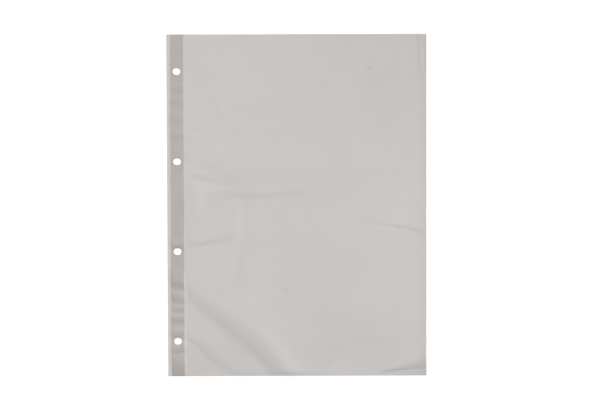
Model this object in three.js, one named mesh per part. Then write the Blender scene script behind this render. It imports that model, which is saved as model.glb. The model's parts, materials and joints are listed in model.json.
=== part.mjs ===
// A4 punched pocket: two clear films welded round three sides, open along the top, with a
// denser punched strip held between the films in the binding margin.
// Millimetres, +Z up. The pocket lies on its back: the mouth faces +Y, the punched edge is at -X,
// and the origin is the middle of its underside.
import * as THREE from "three";

// Driving sizes
const pocketWidth = 230.5; // punched edge to side weld
const pocketHeight = 304; // bottom edge to mouth
const filmThickness = 0.06;
const stripThickness = 0.12;
const stripWidth = 11.5;
const stripInset = 3.2; // clear film outside the strip
const stripCover = 0.2; // clear film between the strip and the bending line
const holeCount = 4;
const holePitch = 80;
const holeLength = 7; // across the pocket
const holeHeight = 6; // along the strip
const holeGroupDrop = 0.7; // the row of holes sits this far below the pocket's middle
const edgeWeldWidth = 0.8;
const spineWeldWidth = 1.2;
const sideWeldWidth = 1;
const bottomWeldHeight = 3.6;
const bendGap = 0.4; // the bending line of the film, left open between the margin and the compartment
const arcSegments = 16; // for each round end of a hole

// Places that follow from the sizes
const left = -pocketWidth / 2;
const right = pocketWidth / 2;
const bottom = -pocketHeight / 2;
const mouth = pocketHeight / 2;
const stripLeft = left + stripInset;
const stripRight = stripLeft + stripWidth;
const marginRight = stripRight + stripCover;
const compartmentLeft = marginRight + bendGap;
const pouchLeft = compartmentLeft + spineWeldWidth;
const pouchRight = right - sideWeldWidth;
const pouchBottom = bottom + bottomWeldHeight;
const stripBase = filmThickness;
const frontBase = stripBase + stripThickness;
const seamThickness = frontBase + filmThickness;
const holeX = stripLeft + stripWidth / 2;

const clearFilm = { color: 0xc9c5c2, roughness: 0.35, metalness: 0, transparent: true, opacity: 0.45 };
const meltedFilm = { color: 0xbfbbb7, roughness: 0.3, metalness: 0, transparent: true, opacity: 0.7 };
const denseFilm = { color: 0xb3aea9, roughness: 0.5, metalness: 0, transparent: true, opacity: 0.85 };

// The outline of one punched hole: a slot with round ends, long side across the pocket.
function punchedHole(centreX, centreY) {
  const radius = holeHeight / 2;
  const straight = (holeLength - holeHeight) / 2;
  const slot = new THREE.Path();
  slot.moveTo(centreX - straight, centreY - radius);
  slot.lineTo(centreX + straight, centreY - radius);
  slot.absarc(centreX + straight, centreY, radius, -Math.PI / 2, Math.PI / 2, false);
  slot.lineTo(centreX - straight, centreY + radius);
  slot.absarc(centreX - straight, centreY, radius, Math.PI / 2, (3 * Math.PI) / 2, false);
  return slot;
}

// Height of a hole's centre on the page, counted from the mouth.
function holeY(index) {
  return ((holeCount - 1) / 2 - index) * holePitch - holeGroupDrop;
}

function rowOfHoles() {
  const holes = [];
  for (let i = 0; i < holeCount; i++) holes.push(punchedHole(holeX, holeY(i)));
  return holes;
}

// A flat layer of film between two corners, with any holes punched through it.
function layer(name, finish, [x0, y0, x1, y1], base, thickness, holes = []) {
  const outline = new THREE.Shape();
  outline.moveTo(x0, y0);
  outline.lineTo(x1, y0);
  outline.lineTo(x1, y1);
  outline.lineTo(x0, y1);
  outline.closePath();
  outline.holes = holes;
  const geometry = new THREE.ExtrudeGeometry(outline, {
    depth: thickness,
    bevelEnabled: false,
    curveSegments: arcSegments,
  });
  const mesh = new THREE.Mesh(geometry, new THREE.MeshStandardMaterial(finish));
  mesh.name = name;
  mesh.position.z = base;
  return mesh;
}

// The back film of the margin, one stretch to each hole, meeting midway between the holes.
function marginBackFilm([x0, x1]) {
  const stretches = new THREE.Group();
  for (let i = 0; i < holeCount; i++) {
    const high = i === 0 ? mouth : holeY(i) + holePitch / 2;
    const low = i === holeCount - 1 ? bottom : holeY(i) - holePitch / 2;
    const hole = [punchedHole(holeX, holeY(i))];
    stretches.add(layer(`margin_back_film_${i + 1}`, clearFilm, [x0, low, x1, high], 0, filmThickness, hole));
  }
  return stretches;
}

// The binding margin: strip between two films, closed along the outer edge, punched through all three.
function bindingMargin() {
  const margin = new THREE.Group();
  const filmLeft = left + edgeWeldWidth;
  const film = [filmLeft, bottom, marginRight, mouth];
  const strip = [stripLeft, bottom, stripRight, mouth];
  margin.add(
    layer("binding_edge_weld", meltedFilm, [left, bottom, filmLeft, mouth], 0, seamThickness),
    marginBackFilm([filmLeft, marginRight]),
    layer("punched_strip", denseFilm, strip, stripBase, stripThickness, rowOfHoles()),
    layer("margin_front_film", clearFilm, film, frontBase, filmThickness, rowOfHoles()),
  );
  return margin;
}

// The back of the compartment, with the welds that join it to the front film.
function compartmentBack() {
  const back = new THREE.Group();
  back.add(
    layer("spine_weld", meltedFilm, [compartmentLeft, pouchBottom, pouchLeft, mouth], 0, seamThickness),
    layer("side_weld", meltedFilm, [pouchRight, pouchBottom, right, mouth], 0, seamThickness),
    layer("bottom_weld", meltedFilm, [compartmentLeft, bottom, right, pouchBottom], 0, seamThickness),
    layer("back_film", clearFilm, [pouchLeft, pouchBottom, pouchRight, mouth], 0, filmThickness),
  );
  return back;
}

// The front film, clear of the welds by the bending line along which it lifts.
function compartmentFront() {
  const panel = [pouchLeft + bendGap, pouchBottom + bendGap, pouchRight - bendGap, mouth];
  return layer("front_film", clearFilm, panel, frontBase, filmThickness);
}

const pocket = new THREE.Group();
pocket.add(bindingMargin(), compartmentBack(), compartmentFront());

export default pocket;
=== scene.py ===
# %% [markdown]
# # A punched pocket
# A punched pocket is two sheets of clear film welded round three sides and open along the top. A denser
# strip lies between the films in the left margin, and four ring holes go through all three layers.
# Everything on it is thin, so its looks come from three things: how much light each film lets through, how
# each film folds, and its seams. The frame is loaded first. It holds the solids that carry the joints, at
# their real size and place.

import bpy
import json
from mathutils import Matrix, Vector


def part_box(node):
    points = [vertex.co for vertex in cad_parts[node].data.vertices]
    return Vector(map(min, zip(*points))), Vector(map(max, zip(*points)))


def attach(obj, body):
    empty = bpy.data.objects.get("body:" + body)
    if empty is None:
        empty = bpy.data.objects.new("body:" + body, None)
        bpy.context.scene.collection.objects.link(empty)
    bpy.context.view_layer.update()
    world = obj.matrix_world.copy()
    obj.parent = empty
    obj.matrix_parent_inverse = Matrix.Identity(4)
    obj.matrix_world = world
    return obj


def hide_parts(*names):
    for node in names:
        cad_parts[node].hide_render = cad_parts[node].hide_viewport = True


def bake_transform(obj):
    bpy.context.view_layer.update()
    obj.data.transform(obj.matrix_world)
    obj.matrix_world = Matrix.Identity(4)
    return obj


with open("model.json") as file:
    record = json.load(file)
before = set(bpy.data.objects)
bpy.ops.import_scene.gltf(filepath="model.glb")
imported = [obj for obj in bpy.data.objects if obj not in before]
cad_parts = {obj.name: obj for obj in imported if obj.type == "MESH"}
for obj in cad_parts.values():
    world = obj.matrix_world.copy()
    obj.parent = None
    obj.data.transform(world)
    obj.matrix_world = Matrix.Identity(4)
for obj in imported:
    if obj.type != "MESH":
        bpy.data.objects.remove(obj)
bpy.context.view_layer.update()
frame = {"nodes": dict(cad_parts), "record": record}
print("nodes:", ", ".join(frame["nodes"]))

# %% Helpers for sizes
import json
import math

import bpy
import numpy as np
from mathutils import Vector

MM = 0.001


def node_box(node):
    """Lowest and highest corner of a solid, in millimetres."""
    low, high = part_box(node)
    return np.array(low) / MM, np.array(high) / MM


def ease(t):
    """Goes from 0 to 1 with a soft start and a soft end."""
    t = np.clip(t, 0.0, 1.0)
    return t * t * (3.0 - 2.0 * t)


# %% [markdown]
# ## The camera
# The photograph looks almost straight down from about a metre, a little above the middle of the page. The
# camera is turned by just over one degree, which gives the slight lean of the sides. Its place was worked
# out from the four corners of the pocket, so the render can be laid over the photograph.

# %% Camera
CAMERA_PLACE = (3.43, 32.24, 1037.5)
CAMERA_TURN = (-1.509, 0.035, -0.176)
CAMERA_LENS = 70.0
SENSOR_WIDTH = 36.0

bpy.ops.object.camera_add(location=[v * MM for v in CAMERA_PLACE])
camera = bpy.context.object
camera.name = "camera"
camera.rotation_mode = "ZYX"
camera.rotation_euler = [math.radians(v) for v in CAMERA_TURN]
camera.data.lens = CAMERA_LENS
camera.data.sensor_width = SENSOR_WIDTH
bpy.context.scene.camera = camera
bpy.context.scene.view_settings.view_transform = "Standard"
print("camera", round(CAMERA_PLACE[2]), "mm above the page")

# %% [markdown]
# ## Floor and light
# The photograph has a plain white ground with no shadow. A pale floor is lit until it is just white. The
# main light is a far, wide softbox low in the upper right. Light that comes in low shows a fold in thin
# film, because a slope of a few degrees towards it or away from it changes how much of it the film
# catches. The rest is an even pale sky. The floor is over a hundred metres wide, so that it reaches close
# to the horizon in a low view.
#
# Seen against the main light, the film would mirror it and turn as white as the floor. So that light is
# kept out of the gloss, and four weak ones that only the gloss sees stand round the page. They give the
# film its soft sheen from the sides.

# %% Floor and light
KEY_AZIMUTH = 38.0
KEY_HEIGHT = 24.0
KEY_SPREAD = 16.0
KEY_POWER = 6.5
SKY_WHITE = (1.0, 1.0, 1.0, 1)
SKY_POWER = 0.4
GLOSS_AZIMUTHS = (38.0, 128.0, 218.0, 308.0)
GLOSS_SPREAD = 30.0
GLOSS_POWER = 0.35
FLOOR_SIZE = 122.0
FLOOR_CELLS = 61
FLOOR_WHITE = (0.9, 0.9, 0.9, 1)
FLOOR_ROUGHNESS = 0.9
FLOOR_GLOSS = 0.1


def studio_floor():
    bpy.ops.mesh.primitive_grid_add(x_subdivisions=FLOOR_CELLS, y_subdivisions=FLOOR_CELLS, size=FLOOR_SIZE)
    floor = bpy.context.object
    floor.name = "floor"
    paint = bpy.data.materials.new("floor_white")
    paint.use_nodes = True
    shader = paint.node_tree.nodes["Principled BSDF"]
    shader.inputs["Base Color"].default_value = FLOOR_WHITE
    shader.inputs["Roughness"].default_value = FLOOR_ROUGHNESS
    shader.inputs["Specular IOR Level"].default_value = FLOOR_GLOSS
    floor.data.materials.append(paint)
    return floor


def far_light(name, azimuth_degrees, spread, power):
    """A far softbox, low beside the page."""
    azimuth = math.radians(azimuth_degrees)
    towards = Vector((math.sin(azimuth), math.cos(azimuth), math.tan(math.radians(KEY_HEIGHT))))
    bpy.ops.object.light_add(type="SUN", location=towards)
    light = bpy.context.object
    light.name = name
    light.data.angle = math.radians(spread)
    light.data.energy = power
    light.rotation_mode = "QUATERNION"
    light.rotation_quaternion = towards.to_track_quat("Z", "Y")
    return light


def key_light():
    light = far_light("key_light", KEY_AZIMUTH, KEY_SPREAD, KEY_POWER)
    light.visible_glossy = False


def gloss_lights():
    for azimuth in GLOSS_AZIMUTHS:
        light = far_light(f"gloss_light_{azimuth:.0f}", azimuth, GLOSS_SPREAD, GLOSS_POWER)
        light.visible_diffuse = False


def pale_sky():
    world = bpy.data.worlds.new("pale_sky")
    bpy.context.scene.world = world
    world.use_nodes = True
    background = world.node_tree.nodes["Background"]
    background.inputs["Color"].default_value = SKY_WHITE
    background.inputs["Strength"].default_value = SKY_POWER


studio_floor()
key_light()
gloss_lights()
pale_sky()
print("key light", KEY_HEIGHT, "degrees above the floor")

# %% [markdown]
# ## The films' finish
# The film is polypropylene with a faint frost. One layer hides three tenths of what is behind it, and the
# part that it doesn't let through is a warm grey with a soft gloss. A very fine emboss breaks the gloss up.
# Each sheet carries a point attribute called tone, which makes it darker or paler in places, such as along a
# cut, with painted shade on a sharp crease's steep flank and along lifted edges, and with painted shade and
# painted light in soft patches.

# %% Film material
FILM_ALPHA = 0.3
FILM_DARK = (0.198, 0.184, 0.174, 1)
FILM_PALE = (0.694, 0.643, 0.609, 1)
PLASTIC_IOR = 1.6
PLASTIC_GLOSS = 1.0
MIDDLE_COLOUR = 0.5
TONE_SHARE = 0.5
PATCH_DETAIL = 3.0
GRAIN_DETAIL = 2.0
NO_STRETCH = (1, 1, 1)


def new_node(tree, kind, **values):
    """A node of that kind, with its sockets set by name."""
    node = tree.nodes.new(kind)
    for name, value in values.items():
        node.inputs[name.replace("_", " ")].default_value = value
    return node


def tone_factor(tree, patch_size, patch_strength):
    """Where between dark and pale each place is: its tone, and soft patches of the given size in mm."""
    place = tree.nodes.new("ShaderNodeTexCoord")
    patches = new_node(tree, "ShaderNodeTexNoise", Scale=1 / (patch_size * MM), Detail=PATCH_DETAIL)
    tree.links.new(place.outputs["Object"], patches.inputs["Vector"])
    tone = tree.nodes.new("ShaderNodeAttribute")
    tone.attribute_name = "tone"
    spread = tree.nodes.new("ShaderNodeMapRange")
    spread.inputs["To Min"].default_value = MIDDLE_COLOUR - patch_strength
    spread.inputs["To Max"].default_value = MIDDLE_COLOUR + patch_strength
    tree.links.new(patches.outputs["Fac"], spread.inputs["Value"])
    total = tree.nodes.new("ShaderNodeMath")
    total.operation = "MULTIPLY_ADD"
    total.inputs[1].default_value = TONE_SHARE
    tree.links.new(tone.outputs["Fac"], total.inputs[0])
    tree.links.new(spread.outputs["Result"], total.inputs[2])
    return total.outputs["Value"]


def shaded_colour(tree, factor, dark, pale):
    """A colour between the dark and the pale one."""
    mix = tree.nodes.new("ShaderNodeMix")
    mix.data_type = "RGBA"
    mix.inputs["A"].default_value = dark
    mix.inputs["B"].default_value = pale
    tree.links.new(factor, mix.inputs["Factor"])
    return mix.outputs["Result"]


def grain_bump(tree, size, depth, stretch):
    """A fine relief of grains of that size and depth in mm."""
    place = tree.nodes.new("ShaderNodeTexCoord")
    mapping = tree.nodes.new("ShaderNodeMapping")
    mapping.inputs["Scale"].default_value = stretch
    grain = new_node(tree, "ShaderNodeTexNoise", Scale=1 / (size * MM), Detail=GRAIN_DETAIL)
    bump = new_node(tree, "ShaderNodeBump", Distance=depth * MM, Strength=1.0)
    tree.links.new(place.outputs["Object"], mapping.inputs["Vector"])
    tree.links.new(mapping.outputs["Vector"], grain.inputs["Vector"])
    tree.links.new(grain.outputs["Fac"], bump.inputs["Height"])
    return bump.outputs["Normal"]


def clear_plastic(
    name, alpha, dark, pale, roughness, patch_size, patch_strength, grain, depth, stretch=NO_STRETCH
):
    """A see-through plastic: one shader with a plain alpha, so that it looks the same in any viewer.

    Its colour has soft patches, and its gloss a grain. Their sizes and the grain's depth are in mm.
    """
    plastic = bpy.data.materials.new(name)
    plastic.use_nodes = True
    tree = plastic.node_tree
    shader = tree.nodes["Principled BSDF"]
    shader.inputs["Alpha"].default_value = alpha
    shader.inputs["Roughness"].default_value = roughness
    shader.inputs["IOR"].default_value = PLASTIC_IOR
    shader.inputs["Specular IOR Level"].default_value = PLASTIC_GLOSS
    factor = tone_factor(tree, patch_size, patch_strength)
    tree.links.new(shaded_colour(tree, factor, dark, pale), shader.inputs["Base Color"])
    tree.links.new(grain_bump(tree, grain, depth, stretch), shader.inputs["Normal"])
    return plastic


film_finish = clear_plastic(
    "film", FILM_ALPHA, FILM_DARK, FILM_PALE,
    roughness=0.34, patch_size=30, patch_strength=0.05, grain=0.5, depth=0.004,
)
print("film hides", FILM_ALPHA, "of what is behind it")

# %% [markdown]
# ## The strip's and the seams' finish
# The strip is a denser, duller film, drawn through rollers, so it has fine streaks along its length. The
# seams are film that was melted and pressed: glossier, a little darker, with a faint ripple along them.

# %% Strip and seam materials
STRIP_ALPHA = 0.6
STRIP_DARK = (0.313, 0.285, 0.261, 1)
STRIP_PALE = (0.862, 0.801, 0.751, 1)
SEAM_ALPHA = 0.27
SEAM_DARK = (0.190, 0.178, 0.171, 1)
SEAM_PALE = (0.664, 0.620, 0.592, 1)
ALONG_THE_STRIP = (1, 0.015, 1)
ALONG_THE_SEAM = (1, 0.2, 1)

strip_finish = clear_plastic(
    "strip", STRIP_ALPHA, STRIP_DARK, STRIP_PALE,
    roughness=0.5, patch_size=12, patch_strength=0.05, grain=0.7, depth=0.01, stretch=ALONG_THE_STRIP,
)
seam_finish = clear_plastic(
    "seam", SEAM_ALPHA, SEAM_DARK, SEAM_PALE,
    roughness=0.22, patch_size=8, patch_strength=0.06, grain=0.8, depth=0.008, stretch=ALONG_THE_SEAM,
)
print("strip hides", STRIP_ALPHA, "and a seam", SEAM_ALPHA, "of what is behind it")

# %% [markdown]
# ## Places
# Every place comes from the frame's solids, so the films meet the seams where the real ones are welded.
# The page is measured in millimetres from its middle: x to the right, y towards the mouth, z up from the
# table.

# %% Places
back_low, back_high = node_box("back_film")
strip_low, strip_high = node_box("punched_strip")
margin_low, margin_high = node_box("margin_front_film")
edge_low, edge_high = node_box("binding_edge_weld")
spine_low, _ = node_box("spine_weld")
_, side_high = node_box("side_weld")

LEFT, BOTTOM = edge_low[0], edge_low[1]
RIGHT, MOUTH = side_high[0], side_high[1]
MARGIN_LEFT, MARGIN_RIGHT = margin_low[0], margin_high[0]
STRIP_LEFT, STRIP_RIGHT = strip_low[0], strip_high[0]
COMPARTMENT_LEFT = spine_low[0]
POUCH_LEFT, POUCH_RIGHT = back_low[0], back_high[0]
POUCH_BOTTOM = back_low[1]
POUCH_MIDDLE = (POUCH_LEFT + POUCH_RIGHT) / 2
BACK_LEVEL = back_high[2] / 2
STRIP_LEVEL = (strip_low[2] + strip_high[2]) / 2
FRONT_LEVEL = (margin_low[2] + margin_high[2]) / 2
print("pocket", round(RIGHT - LEFT, 1), "by", round(MOUTH - BOTTOM, 1), "mm")

# %% [markdown]
# ## Folds
# The pocket has been handled, so both films share soft folds. A fold is a crest along a line, with one flank
# on each side. A long flank is gentle and hardly shows. A short one is steep, and catches the light or loses
# it. Cloth simulation would fold the film somewhere else on each try, so each fold is laid where the
# photograph has it, as a sculptor would pull up a ridge.

# %% Fold helper


def smooth_line(points, step=2.0):
    """A smooth line through a few chosen points, in short steps. All columns are carried along."""
    chosen = np.array(points, float)
    before = 2 * chosen[0] - chosen[1]
    after = 2 * chosen[-1] - chosen[-2]
    p = np.vstack([before, chosen, after])
    line = []
    for a, b, c, d in zip(p[:-3], p[1:-2], p[2:-1], p[3:]):
        count = max(2, int(np.hypot(*(c - b)[:2]) / step))
        t = np.linspace(0, 1, count, endpoint=False)[:, None]
        bend = (2 * a - 5 * b + 4 * c - d) * t**2 + (3 * b - a - 3 * c + d) * t**3
        line.append(0.5 * (2 * b + (c - a) * t + bend))
    return np.vstack([*line, chosen[-1:]])


def flank(t, crest_bend, foot_bend):
    """Height of a flank, from 1 at its crest to 0 at its foot. The bends are the shares that curve."""
    t = np.clip(t, 0, 1)
    steepest = 1 / (1 - (crest_bend + foot_bend) / 2)
    top = 1 - steepest * t**2 / (2 * crest_bend)
    slope = 1 - steepest * (t - crest_bend / 2)
    foot = steepest * (1 - t) ** 2 / (2 * foot_bend)
    return np.where(t < crest_bend, top, np.where(t < 1 - foot_bend, slope, foot))


def steepness(t, crest_bend, foot_bend):
    """Slope of a flank, 1 where it is steepest."""
    t = np.clip(t, 0, 1)
    return np.minimum.reduce([t / crest_bend, np.ones_like(t), (1 - t) / foot_bend])


# Bends of every left flank, the least reach of any flank, and the rise from which a fold's painted shade is
# full
LEFT_BENDS = (0.15, 0.8)
LEAST_REACH = 0.5
FULL_RISE = 0.2


def fold(points, bends=(0.5, 0.5), end_bends=None, painted_shade=0.0):
    """A fold. A point of its crest has x, y, rise, and reach to the left and to the right of its run, in mm.

    The bends are those of the right flank, at the fold's start and at its end. Painted shade is how much the
    tone is darkened, as painted shade, where that flank is steepest. A negative one makes it paler, as
    painted light.
    """
    line = smooth_line(points)
    start = line[0, :2]
    run = line[-1, :2] - start
    run /= np.hypot(*run)
    along = (line[:, :2] - start) @ run
    aside = (line[:, :2] - start) @ (-run[1], run[0])
    share = (along / along[-1])[:, None]
    bent = np.array(bends) * (1 - share) + np.array(end_bends or bends) * share
    columns = [aside, *line[:, 2:].T, *bent.T]
    return {"start": start, "run": run, "along": along, "columns": columns, "painted_shade": painted_shade}


def lay_fold(x, y, each):
    """Height in mm, and the tone of painted shade or light on its steep flank, that one fold gives to each
    place.
    """
    start, run = each["start"], each["run"]
    along = (x - start[0]) * run[0] + (y - start[1]) * run[1]
    aside = (y - start[1]) * run[0] - (x - start[0]) * run[1]
    crest, rise, left, right, crest_bend, foot_bend = (
        np.interp(along, each["along"], column) for column in each["columns"]
    )
    away = aside - crest
    t = np.abs(away) / np.maximum(np.where(away > 0, left, right), LEAST_REACH)
    height = rise * np.where(away > 0, flank(t, *LEFT_BENDS), flank(t, crest_bend, foot_bend))
    fullness = np.clip(np.abs(rise) / FULL_RISE, 0, 1)
    # painted shade on the steep right flank, or painted light where it is negative
    tone = -each["painted_shade"] * fullness * np.where(away > 0, 0, steepness(t, crest_bend, foot_bend))
    return height, tone


# %% [markdown]
# The folds of the compartment, from the photograph. Two run down from the spine to the bottom weld. A pair
# runs across the page, a little above its middle. The rest are shorter creases, most of them near the
# edges, where the film was bent while it was filled or carried.

# %% Folds of the compartment
COMPARTMENT_FOLDS = [
    # long diagonal fold in the lower left, with painted shade on its steep flank
    fold([
        (-101, -62, 0.15, 8, 8), (-95.4, -67.2, 0.42, 25, 12.5), (-86.5, -74.5, 1.02, 60, 16.5),
        (-75, -84, 1.5, 85, 19.2), (-58, -95.3, 1.82, 95, 21), (-38.6, -109.6, 1.88, 100, 23),
        (-28, -121, 1.62, 85, 21), (-20.4, -131, 1.28, 60, 19), (-11, -142.4, 0.95, 38, 18),
        (-3.9, -152.3, 0.65, 25, 17),
    ], bends=(0.3, 0.2), end_bends=(0.7, 0.4), painted_shade=0.06),
    # its pale side further down, with painted light, and its end at the weld, darkened with painted shade
    fold([
        (2, -158, 0.2, 20, 13), (-11, -142.4, 0.3, 20, 13), (-20.4, -131, 0.3, 20, 13),
        (-28, -121, 0.25, 20, 13), (-38.6, -109.6, 0.12, 20, 11), (-50, -101, 0, 20, 10),
    ], bends=(0.2, 0.5), painted_shade=-0.06),
    fold([
        (-26, -124, 0, 20, 18), (-11, -142.4, 0.18, 20, 18), (-3.9, -152.3, 0.2, 15, 17),
    ], bends=(0.6, 0.3), painted_shade=0.17),
    # shorter diagonal fold in the corner below it
    fold([
        (-101, -118, 0.4, 10, 5), (-95, -117, 0.6, 25, 6), (-90.5, -116, 0.75, 45, 8.5),
        (-83, -119, 0.9, 80, 12.5), (-74, -127, 0.98, 110, 14), (-65, -134, 0.95, 110, 14),
        (-55, -142, 0.75, 110, 13), (-42, -151, 0.42, 110, 12), (-22, -163, 0, 110, 12),
    ], bends=(0.75, 0.35)),
    # upper fold across the page
    fold([
        (-101, 33.8, 0.2, 4, 6), (-90, 29.5, 0.24, 5, 6.5), (-81.5, 27.5, 0.26, 7, 7),
        (-72.7, 27, 0.28, 12, 8), (-64, 30, 0.42, 22, 12), (-55, 33, 0.55, 34, 15),
        (-41.5, 34.7, 0.65, 45, 18), (3, 35, 0.65, 53, 18), (48, 35, 0.5, 53, 18), (91, 37, 0.25, 53, 17),
        (127, 41, 0, 53, 17),
    ], bends=(0.3, 0.3)),
    # lower fold across the page
    fold([
        (-68, 13.9, 0, 10, 10), (-58, 13.9, 0.3, 20, 9.5), (-50, 13.2, 0.52, 40, 9),
        (-41, 12.7, 0.64, 53, 8.5), (-30, 13, 0.64, 53, 8.5), (-15, 14.3, 0.52, 53, 8.3),
        (3, 15, 0.4, 53, 8), (30, 16, 0.28, 53, 8), (60, 14.5, 0.2, 53, 8), (90, 12, 0, 53, 8),
    ]),
    # its end, bent down to the left, darkened with painted shade
    fold([
        (-86, -9, 0, 3, 0.5), (-80, 1.5, 0.06, 4, 6), (-74.5, 9, 0.12, 5, 9.5), (-69, 12.5, 0.14, 8, 11),
        (-60, 13.5, 0.14, 8, 11), (-50, 14, 0, 8, 9),
    ], bends=(0.2, 0.2), painted_shade=0.12),
    # pale facet left of its bend, paled partly with painted light
    fold([
        (-88.8, -8.5, 0, 4, 0.5), (-89.6, 0.6, 0.1, 7, 7), (-91, 8.6, 0.12, 7, 12.5),
        (-92.3, 14.5, 0.14, 6, 23), (-94, 19.5, 0.12, 4, 12), (-96, 25, 0, 3, 1),
    ], bends=(0.2, 0.2), painted_shade=-0.25),
    # crease from the spine, above the third hole
    fold([
        (-101, -32, 0.4, 14, 5.5), (-90, -31, 0.72, 20, 6), (-83, -30, 0.72, 24, 6),
        (-75, -28.5, 0.62, 24, 6), (-66, -26, 0.48, 20, 6), (-58, -23, 0.35, 14, 7), (-50, -18, 0, 9, 7),
    ], bends=(0.6, 0.2)),
    # pale upright step below the lower fold, with a dull side further down
    fold([
        (-68.5, -80, 0, 40, 8), (-64.5, -63, 0.4, 40, 8), (-61.5, -52, 0.6, 40, 8),
        (-59, -43, 0.72, 40, 8), (-56, -34, 0.72, 40, 8), (-54, -26, 0.68, 40, 8), (-54, -5, 0.5, 40, 8),
        (-54, 10, 0, 40, 8),
    ], bends=(0.4, 0.3)),
    fold([(-38, -22, 0, 30, 8), (-43, -38, 0.5, 30, 8), (-48, -56, 0.45, 30, 8), (-53, -78, 0, 30, 8)]),
    # creases that fan out from the spine beside the second hole
    fold([(-101, 63.5, 0.32, 8, 6), (-93, 59.5, 0.32, 8, 6), (-78.5, 53.5, 0, 8, 6)]),
    fold([(-101, 56, 0.15, 3, 3), (-96, 53, 0.14, 3.5, 3), (-90, 50.5, 0, 3, 3)]),
    fold([
        (-101, 49.5, 0.24, 4, 7), (-95, 45.5, 0.24, 4.5, 8), (-86, 41, 0.2, 6, 8), (-74, 39, 0.14, 8, 8),
        (-60, 38, 0, 8, 8),
    ]),
    # faint creases in the upper left
    fold([
        (-60, 63, 0, 12, 4.5), (-66, 86, 0.24, 12, 4.5), (-71, 98, 0.22, 12, 4.5), (-76, 108, 0, 12, 4.5),
    ]),
    fold([
        (-63, 37, 0, 20, 4.5), (-67, 48, 0.18, 20, 4.5), (-71, 57, 0.16, 20, 4.5), (-76, 67, 0, 20, 4.5),
    ]),
    # fine crease that runs to the right edge, with painted shade on its steep flank, and fainter ones above
    # and below it
    fold([
        (64, -15.2, 0, 40, 2.6), (78, -16, 0.14, 40, 2.6), (91.7, -17.8, 0.25, 40, 2.6),
        (100.5, -19.4, 0.31, 40, 2.7), (109.5, -21.7, 0.36, 40, 2.8), (120, -24.4, 0.38, 40, 2.8),
    ], painted_shade=0.1),
    fold([
        (55, -11.5, 0, 40, 2.6), (63, -12, 0.08, 40, 2.6), (74, -13.2, 0.08, 40, 2.6),
        (84, -14.5, 0, 40, 2.6),
    ]),
    fold([
        (26, -23, 0, 12, 2.6), (56, -24, 0.12, 12, 2.6), (67, -24.5, 0.14, 12, 2.6),
        (93.5, -26, 0, 12, 2.6),
    ]),
    # wedge in the lower right corner, soft above and crisp below, with painted shade on its crisp flank
    fold([
        (68, -149.5, 0, 12, 1), (78, -146.8, 0.2, 18, 3), (87, -144, 0.36, 30, 5),
        (96, -141, 0.48, 40, 7.5), (105, -137, 0.52, 50, 11.5), (112, -134, 0.54, 50, 14.5),
        (118, -131, 0.52, 50, 17.5), (127, -126, 0.4, 50, 22),
    ], bends=(0.7, 0.2), end_bends=(0.45, 0.2), painted_shade=0.5),
    # upright creases in the upper right corner, with painted shade on their steep flanks
    fold([
        (109.5, 157, 0.3, 5, 3.4), (109.7, 137.5, 0.3, 5, 3.4), (110.5, 126, 0.24, 5, 3.4),
        (112, 109, 0, 4, 3.4),
    ], painted_shade=0.25),
    fold([(112.1, 157, 0.12, 2, 1.6), (112.4, 146, 0.12, 2, 1.6), (113, 136, 0, 2, 1.6)], painted_shade=0.6),
    # soft hollows above the bottom weld
    fold([
        (-5, -137, 0, 21, 7), (18.5, -128.5, 0.25, 21, 7), (31, -125, 0.36, 23, 7.5),
        (43.5, -125.5, 0.3, 23, 7), (62, -132, 0, 21, 6),
    ]),
    fold([
        (32, -119, 0, 18, 5), (59, -116.5, 0.2, 18, 5), (82, -117.5, 0.22, 18, 5), (104, -120.5, 0, 18, 5),
    ]),
    fold([
        (61, -109.5, 0, 12, 3.5), (87, -105.5, 0.12, 12, 3.5), (105, -101, 0.12, 12, 3.5),
        (119, -98, 0, 12, 3.5),
    ]),
    fold([
        (83, -113, 0, 9, 3.5), (96, -109, 0.12, 9, 3.5), (110, -105, 0.14, 9, 3.5), (121, -102, 0, 9, 3.5),
    ]),
]
BOTTOM_HOLD = 5.0
BOTTOM_SHARE = 0.15
SPINE_HOLD = 4.0
CROWN = 0.8
CROWN_REACH = 80.0


def lie_of_compartment(x, y):
    """How high the compartment's back lies above the table."""
    from_edge = np.minimum.reduce([RIGHT - x, y - BOTTOM, x - POUCH_LEFT, MOUTH - y])
    height = CROWN * ease(from_edge / CROWN_REACH)
    for each in COMPARTMENT_FOLDS:
        height += lay_fold(x, y, each)[0]
    held = BOTTOM_SHARE + (1 - BOTTOM_SHARE) * ease((y - BOTTOM) / BOTTOM_HOLD)
    return np.maximum(height, 0) * held * ease((x - POUCH_LEFT) / SPINE_HOLD)


def painted_fold_shade(x, y):
    """Tone of painted shade on the steep flanks of the sharpest creases, paler as painted light where a
    fold's painted shade is negative.
    """
    return sum(lay_fold(x, y, each)[1] for each in COMPARTMENT_FOLDS if each["painted_shade"])


# %% [markdown]
# The margin is stiffer, because three layers are pressed together there. It has short ripples across it.
# They fade towards the punched edge, and on the other side the spine seam comes down from them to the
# table.

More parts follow.
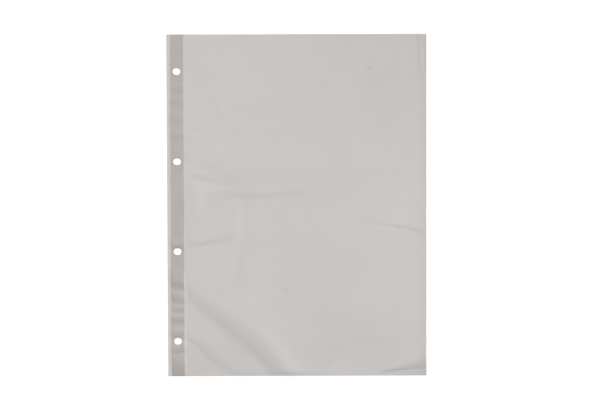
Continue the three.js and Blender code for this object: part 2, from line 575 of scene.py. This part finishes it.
# %% Ripples of the margin
RIPPLES = [
    # place of the crest on the page, height, reach towards the mouth, reach towards the bottom, slant
    (105.5, 0.14, 5.0, 5.0, 0.05),
    (94.5, 0.16, 5.0, 6.5, 0.0),
    (79.0, 0.20, 9.0, 6.0, 0.1),
    (64.0, 0.22, 8.0, 5.5, 0.1),
    (24.0, 0.14, 12.0, 6.0, 0.1),
    (-34.4, 0.31, 10.0, 4.3, 0.2),
    (-67.0, 0.60, 16.0, 7.5, -0.05),
    (-80.5, 0.40, 6.2, 8.0, -0.05),
    (-91.0, 0.22, 4.0, 4.2, 0.0),
    (-99.7, 0.38, 5.2, 6.5, 0.05),
    (-113.0, 0.46, 7.5, 7.0, 0.1),
    (-126.9, 0.46, 8.5, 6.5, 0.3),
    (-136.0, 0.34, 6.0, 15.0, 0.1),
]
RIPPLE_BENDS = (0.5, 0.5)
RIPPLE_END = 6.0


def lie_of_margin(x, y):
    """How high the margin's back lies above the table."""
    height = np.zeros(x.shape)
    middle = (STRIP_LEFT + STRIP_RIGHT) / 2
    for crest, rise, up, down, slant in RIPPLES:
        away = y - crest - slant * (x - middle)
        height += rise * flank(np.abs(away) / np.where(away > 0, up, down), *RIPPLE_BENDS)
    return height * ease((x - LEFT) / RIPPLE_END)


def lie_of_spine(x, y):
    """How high the spine seam's middle lies: from the margin's ripples down to the table."""
    return lie_of_margin(x, y) * ease((POUCH_LEFT - x) / (POUCH_LEFT - MARGIN_RIGHT))


# %% [markdown]
# ## Film sheets
# Each film is a grid of cells about a millimetre wide, laid flat at its place and then moved up to the
# folds. It is left as one surface, because the real film is sixty thousandths of a millimetre thick. The
# point attribute tone is written at the same time.

# %% Film sheet helper
BACK_CELL = 0.85
FRONT_CELL = 0.6
CUT_EDGE_TONE = -0.42
CUT_EDGE_REACH = 1.1


def deselect():
    bpy.ops.object.select_all(action="DESELECT")


def flat_grid(name, x0, y0, x1, y1, level, cell, cell_y=None):
    """A flat grid between two corners, in mm, with its place in its mesh."""
    deselect()
    columns = max(1, round((x1 - x0) / cell))
    rows = max(1, round((y1 - y0) / (cell_y or cell)))
    middle = ((x0 + x1) / 2 * MM, (y0 + y1) / 2 * MM, level * MM)
    bpy.ops.mesh.primitive_grid_add(x_subdivisions=columns, y_subdivisions=rows, size=MM, location=middle)
    sheet = bpy.context.object
    sheet.name = name
    bpy.ops.transform.resize(value=(x1 - x0, y1 - y0, 1))
    bpy.ops.object.transform_apply(location=True, rotation=True, scale=True)
    return sheet


def points_of(piece):
    """The piece's points in mm, one row each."""
    flat = np.zeros(len(piece.data.vertices) * 3)
    piece.data.vertices.foreach_get("co", flat)
    return flat.reshape(-1, 3) / MM


def places_of(piece):
    """Where on the page the piece's points lie, in mm."""
    points = points_of(piece)
    return points[:, 0], points[:, 1]


def set_points(piece, points):
    piece.data.vertices.foreach_set("co", (points * MM).ravel())
    piece.data.update()


def set_tone(piece, tone):
    attribute = piece.data.attributes.new("tone", "FLOAT", "POINT")
    attribute.data.foreach_set("value", tone.astype(np.float32))


def finish_piece(piece, material, body=None):
    """Gives a piece its material and smooth shading, and lets it ride on its body."""
    piece.data.materials.clear()
    piece.data.materials.append(material)
    deselect()
    piece.select_set(True)
    bpy.context.view_layer.objects.active = piece
    bpy.ops.object.shade_smooth()
    if body:
        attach(piece, body)
    print(piece.name, len(piece.data.polygons), "faces")


def cut_line(distance):
    """Tone along a cut edge: the light that leaves through the cut is missing there."""
    return CUT_EDGE_TONE * np.clip(1 - distance / CUT_EDGE_REACH, 0, 1)


# %% [markdown]
# ## The compartment's films
# The back film lies on the table and follows the folds. The front film lies on it, a little proud in the
# middle, and its lip at the mouth curls up by a hair. The front film is made in two halves that meet along
# the page's middle.

# %% Compartment films
PUFF = 0.3
PUFF_REACH = 40.0
PUFF_AT_MOUTH = 0.2
PUFF_FROM_MOUTH = 60.0
LIP_CURL = 0.05
LIP_REACH = 3.0
LIP_FADE = 6.0
# soft patches of painted shade and painted light, where the folds' own shading falls short
PAINTED_PATCHES = [
    # middle of the patch, reach across, reach along the page, tone
    (115, 152, 120, 90, -0.2),
    (0, 155, 120, 5, -0.06),
    (70, -114, 50, 16, -0.09),
    (20, -150, 75, 45, -0.06),
    (5, -70, 50, 50, -0.05),
    (-90, -145, 25, 15, -0.14),
    (-72, -117, 18, 18, -0.06),
    (-48, -134, 16, 16, -0.12),
    (-75, 75, 30, 45, 0.06),
    (-78, -44, 20, 12, 0.12),
    (-36, -12, 12, 10, 0.08),
    (-38, -36, 10, 8, -0.06),
    (-72, 15.5, 6, 2.5, 0.08),
    (-76, -6, 16, 7, 0.1),
    (85, 10, 40, 30, 0.04),
    (108, -150.5, 24, 4.5, -0.28),
    (112, -128, 10, 8, -0.07),
    (115.3, 145, 1.2, 28, -0.3),
]
# painted shade along the right edge
RIGHT_EDGE_PAINTED_SHADE = 0.12
RIGHT_EDGE_REACH = 8.0
# painted shade per mm that a free edge stands off the table
LIFTED_EDGE_PAINTED_SHADE = 1.2
LIFTED_EDGE_REACH = 3.0
DUST_SIZE = 0.9
DUST = [
    # place on the page, how dark
    (-10.1, -75.2, 5.0), (28.1, -139.8, 4.5), (-33.7, -67.6, 2.0), (63.0, 124.8, 2.0), (64.8, 121.3, 3.0),
    (107.5, -101.9, 2.0),
]


def puff_of_front(x, y):
    """How far the front film stands off the back film."""
    from_weld = np.minimum.reduce([x - POUCH_LEFT, POUCH_RIGHT - x, y - POUCH_BOTTOM])
    share = PUFF_AT_MOUTH + (1 - PUFF_AT_MOUTH) * ease((MOUTH - y) / PUFF_FROM_MOUTH)
    room = PUFF * ease(from_weld / PUFF_REACH) * share
    lip = LIP_CURL * ease(1 - (MOUTH - y) / LIP_REACH) * ease(from_weld / LIP_FADE)
    return room + lip


def painted_shade_and_light(x, y):
    """Tone of soft patches of painted shade and painted light, and painted shade along the right edge."""
    tone = -RIGHT_EDGE_PAINTED_SHADE * np.clip(1 - (RIGHT - x) / RIGHT_EDGE_REACH, 0, 1)
    for at_x, at_y, across, along, strength in PAINTED_PATCHES:
        tone += strength * np.exp(-(((x - at_x) / across) ** 2) - ((y - at_y) / along) ** 2)
    return tone


def dust_tone(x, y):
    tone = np.zeros(x.shape)
    for at_x, at_y, strength in DUST:
        from_speck = np.hypot(x - at_x, y - at_y) / DUST_SIZE
        tone -= strength * np.exp(-(from_speck**2))
    return tone


def painted_shade_at_lifted_edge(x, y):
    """Painted shade along the free edges, growing with how far they stand off the table, which darkens the
    pale rim where light gets in below them.
    """
    from_edge = np.minimum(RIGHT - x, MOUTH - y)
    return -LIFTED_EDGE_PAINTED_SHADE * lie_of_compartment(x, y) * np.clip(1 - from_edge / LIFTED_EDGE_REACH, 0, 1)


def tone_of_compartment(x, y):
    """What all layers of the compartment share: painted shade on creases and at lifted edges, and painted
    shade and light in soft patches.
    """
    return painted_fold_shade(x, y) + painted_shade_and_light(x, y) + painted_shade_at_lifted_edge(x, y)


def back_film():
    sheet = flat_grid("back_sheet", POUCH_LEFT, POUCH_BOTTOM, POUCH_RIGHT, MOUTH, BACK_LEVEL, BACK_CELL)
    points = points_of(sheet)
    x, y = points[:, 0], points[:, 1]
    set_tone(sheet, cut_line(MOUTH - y) + tone_of_compartment(x, y))
    points[:, 2] += lie_of_compartment(x, y)
    set_points(sheet, points)
    finish_piece(sheet, film_finish, "compartment")
    return sheet


def front_film_half(name, x0, x1):
    sheet = flat_grid(name, x0, POUCH_BOTTOM, x1, MOUTH, FRONT_LEVEL, FRONT_CELL)
    points = points_of(sheet)
    x, y = points[:, 0], points[:, 1]
    set_tone(sheet, cut_line(MOUTH - y) + tone_of_compartment(x, y) + dust_tone(x, y))
    points[:, 2] += lie_of_compartment(x, y) + puff_of_front(x, y)
    set_points(sheet, points)
    finish_piece(sheet, film_finish)
    return sheet


back_sheet = back_film()
front_left = front_film_half("front_sheet_left", POUCH_LEFT, POUCH_MIDDLE)
front_right = front_film_half("front_sheet_right", POUCH_MIDDLE, POUCH_RIGHT)

# %% [markdown]
# ## The margin
# Three layers lie in the margin: a film below, the strip, and a film above. All three are punched at once,
# so one punch tool with four oblong cutters goes through each of them. A boolean is the plain way to do
# what a punch does.

# %% Punch tool
ring_holes = next(m for m in frame["record"]["mounts"] if m["name"] == "ring_holes")
HOLE_LENGTH = ring_holes["dims"]["slot_length_mm"]
HOLE_HEIGHT = 2 * ring_holes["dims"]["hole_r_mm"]
HOLE_X = ring_holes["pos_m"][0] / MM
CUTTER_SIDES = 40
CUTTER_DEPTH = 4.0


def hole_centres():
    """Heights of the ring holes on the page."""
    pitch = ring_holes["dims"]["spacing_y_mm"]
    count = int(ring_holes["dims"]["count"])
    middle = ring_holes["pos_m"][1] / MM
    return [middle + ((count - 1) / 2 - i) * pitch for i in range(count)]


def cutter(height_on_page):
    """One oblong punch: a round bar, pulled apart along x into a slot with round ends."""
    deselect()
    bpy.ops.mesh.primitive_cylinder_add(
        vertices=CUTTER_SIDES,
        radius=HOLE_HEIGHT / 2 * MM,
        depth=CUTTER_DEPTH * MM,
        location=(HOLE_X * MM, height_on_page * MM, 0),
    )
    bar = bpy.context.object
    bpy.ops.object.transform_apply(location=True, rotation=True, scale=True)
    points = points_of(bar)
    pull = (HOLE_LENGTH - HOLE_HEIGHT) / 2
    points[:, 0] += np.where(points[:, 0] > HOLE_X, pull, -pull)
    set_points(bar, points)
    return bar


def punch_tool():
    bars = [cutter(height) for height in HOLES]
    deselect()
    for bar in bars:
        bar.select_set(True)
    bpy.context.view_layer.objects.active = bars[0]
    bpy.ops.object.join()
    return bars[0]


HOLES = hole_centres()
print("ring holes at", [round(h, 1) for h in HOLES], "mm on the page")

# %% Margin layers
MARGIN_CELL = 0.75
MARGIN_CELL_ALONG = 1.0
STRIP_END_TONE = 0.7
STRIP_END_REACH = 14.0
STRIP_TONE_PATCHES = [
    # middle of the patch along the strip, reach, tone
    (66, 28, 0.1),
    (33, 6, -0.08),
    (18.5, 8, 0.18),
    (-36.5, 2, -0.2),
    (-62, 8, -0.14),
    (-102, 16, 0.1),
]


def tone_along_strip(y):
    """The strip is darker at its lower end, and a little darker or paler in soft patches along its length.
    """
    tone = -STRIP_END_TONE * np.clip(1 - (y - BOTTOM) / STRIP_END_REACH, 0, 1)
    for middle, reach, strength in STRIP_TONE_PATCHES:
        tone += strength * np.exp(-(((y - middle) / reach) ** 2))
    return tone


def punch(sheet, tool):
    """Cuts the four ring holes through a sheet."""
    deselect()
    sheet.select_set(True)
    bpy.context.view_layer.objects.active = sheet
    bpy.ops.object.modifier_add(type="BOOLEAN")
    cut = sheet.modifiers[-1]
    cut.operation = "DIFFERENCE"
    cut.solver = "EXACT"
    cut.object = tool
    bpy.ops.object.modifier_apply(modifier=cut.name)


def from_hole(x, y):
    """Distance from the rim of the nearest ring hole."""
    straight = (HOLE_LENGTH - HOLE_HEIGHT) / 2
    across = np.maximum(np.abs(x - HOLE_X) - straight, 0)
    return np.minimum.reduce([np.hypot(across, y - h) for h in HOLES]) - HOLE_HEIGHT / 2


def margin_layer(name, x0, x1, level, material, tool, tone_along=None):
    sheet = flat_grid(name, x0, BOTTOM, x1, MOUTH, level, MARGIN_CELL, MARGIN_CELL_ALONG)
    punch(sheet, tool)
    points = points_of(sheet)
    x, y = points[:, 0], points[:, 1]
    cut = np.minimum.reduce([MOUTH - y, y - BOTTOM, np.maximum(from_hole(x, y), 0)])
    set_tone(sheet, cut_line(cut) + (tone_along(y) if tone_along else 0))
    points[:, 2] += lie_of_margin(x, y)
    set_points(sheet, points)
    finish_piece(sheet, material, "binding_margin")
    return sheet


tool = punch_tool()
margin_back = margin_layer("margin_back_sheet", MARGIN_LEFT, MARGIN_RIGHT, BACK_LEVEL, film_finish, tool)
strip = margin_layer("strip_sheet", STRIP_LEFT, STRIP_RIGHT, STRIP_LEVEL, strip_finish, tool, tone_along_strip)
margin_front = margin_layer("margin_front_sheet", MARGIN_LEFT, MARGIN_RIGHT, FRONT_LEVEL, film_finish, tool)
bpy.data.objects.remove(tool)

# %% [markdown]
# ## Seams
# A seam is where both films are melted into one. Each is a closed band with its real thickness. The edge
# and side seams are narrow beads with a rounded back. The side seam is cut and melted at once, so it is
# the darker of the two. The bottom seam is a wide pressed band with two fine raised lines.

# %% Seam helper
SEAM_MIDDLE = (BACK_LEVEL + FRONT_LEVEL) / 2
FIRST_THICKNESS = 0.1
BEAD_SIDE = 0.03
BEAD_SWELL = 0.085
SPINE_SHARE = 0.7
SPINE_LEAST = 0.05
PRESSED_FILM = 0.06
RAISED_LINE = 0.055
LINE_REACH = 0.23
WELD_LINE_INSET = 0.5
CUT_LINE_INSET = 0.6
CUT_LINE_SHARE = 0.7


def band(name, low, high, half_thickness, lie, cell_x, cell_y):
    """A closed band between two corners whose half thickness follows a rule across it."""
    sheet = flat_grid(name, low[0], low[1], high[0], high[1], SEAM_MIDDLE, cell_x, cell_y)
    bpy.ops.object.modifier_add(type="SOLIDIFY")
    wall = sheet.modifiers[-1]
    wall.thickness = FIRST_THICKNESS * MM
    wall.offset = 0
    bpy.ops.object.modifier_apply(modifier=wall.name)
    points = points_of(sheet)
    x, y = points[:, 0], points[:, 1]
    above = np.where(points[:, 2] > SEAM_MIDDLE, 1, -1)
    points[:, 2] = SEAM_MIDDLE + above * half_thickness(x, y) + lie(x, y)
    set_points(sheet, points)
    return sheet


def bead(low, high):
    """Half thickness of a bead: full along its middle, thin at both sides."""

    def half_thickness(x, y):
        across = (2 * x - low - high) / (high - low)
        return BEAD_SIDE + BEAD_SWELL * np.sqrt(np.clip(1 - across**2, 0, 1))

    return half_thickness


def pressed(x, y):
    """Half thickness of the bottom seam: thin, with raised lines at the weld and just inside the cut."""
    from_weld_line = (POUCH_BOTTOM - WELD_LINE_INSET - y) / LINE_REACH
    from_cut_line = (y - BOTTOM - CUT_LINE_INSET) / LINE_REACH
    raised = np.exp(-(from_weld_line**2)) + CUT_LINE_SHARE * np.exp(-(from_cut_line**2))
    return PRESSED_FILM + RAISED_LINE * raised


# %% Seams
EDGE_SEAM_TONE = 0.1
SIDE_SEAM_TONE = -0.15


def flat_lie(x, y):
    return np.zeros(x.shape)


def edge_seam():
    low, high = edge_low, edge_high
    seam = band("edge_seam", low, high, bead(low[0], high[0]), flat_lie, cell_x=0.1, cell_y=4)
    _, y = places_of(seam)
    set_tone(seam, cut_line(np.minimum(MOUTH - y, y - BOTTOM)) + EDGE_SEAM_TONE)
    finish_piece(seam, seam_finish, "binding_margin")
    return seam


def side_seam():
    low = (POUCH_RIGHT, POUCH_BOTTOM)
    shape = bead(POUCH_RIGHT, RIGHT)
    seam = band("side_seam", low, side_high, shape, lie_of_compartment, cell_x=0.1, cell_y=1)
    x, y = places_of(seam)
    set_tone(seam, cut_line(np.minimum(MOUTH - y, RIGHT - x)) + tone_of_compartment(x, y) + SIDE_SEAM_TONE)
    finish_piece(seam, seam_finish, "compartment")
    return seam


def bottom_seam():
    low = (POUCH_LEFT, BOTTOM)
    high = (RIGHT, POUCH_BOTTOM)
    seam = band("bottom_seam", low, high, pressed, lie_of_compartment, cell_x=1, cell_y=0.15)
    x, y = places_of(seam)
    set_tone(seam, cut_line(np.minimum(y - BOTTOM, RIGHT - x)) + tone_of_compartment(x, y))
    finish_piece(seam, film_finish, "compartment")
    return seam


edge = edge_seam()
side = side_seam()
bottom = bottom_seam()

# %% [markdown]
# The spine is the weld between the strip and the compartment, and the film beside it where the page turns.
# It bends, so it has several columns of faces across the bending line. It also comes down from the margin's
# ripples to the table.

# %% Spine seam


def spine_seam():
    low = (MARGIN_RIGHT, BOTTOM)
    high = (POUCH_LEFT, MOUTH)
    weld = bead(COMPARTMENT_LEFT, POUCH_LEFT)

    def half_thickness(x, y):
        return np.maximum(weld(x, y) * SPINE_SHARE, SPINE_LEAST)

    seam = band("spine_seam", low, high, half_thickness, lie_of_spine, cell_x=0.08, cell_y=1)
    _, y = places_of(seam)
    set_tone(seam, cut_line(np.minimum(MOUTH - y, y - BOTTOM)))
    finish_piece(seam, film_finish)
    return seam


spine = spine_seam()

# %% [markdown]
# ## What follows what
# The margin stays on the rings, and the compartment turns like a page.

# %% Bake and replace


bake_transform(spine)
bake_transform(front_left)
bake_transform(front_right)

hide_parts("back_film")
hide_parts("front_film")
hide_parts("front_film")
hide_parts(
    "margin_back_film_1", "margin_back_film_2", "margin_back_film_3", "margin_back_film_4"
)
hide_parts("punched_strip")
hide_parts("margin_front_film")
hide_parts("binding_edge_weld")
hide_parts("side_weld")
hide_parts("bottom_weld")
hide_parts("spine_weld")


def cut_size(piece):
    """Width and length of a sheet's flat cut, in metres."""
    points = points_of(piece)[:, :2] * MM
    width, length = points.max(0) - points.min(0)
    return float(width), float(length)


cut_size(back_sheet)
cut_size(front_left)
cut_size(front_right)
cut_size(margin_back)
cut_size(strip)
cut_size(margin_front)
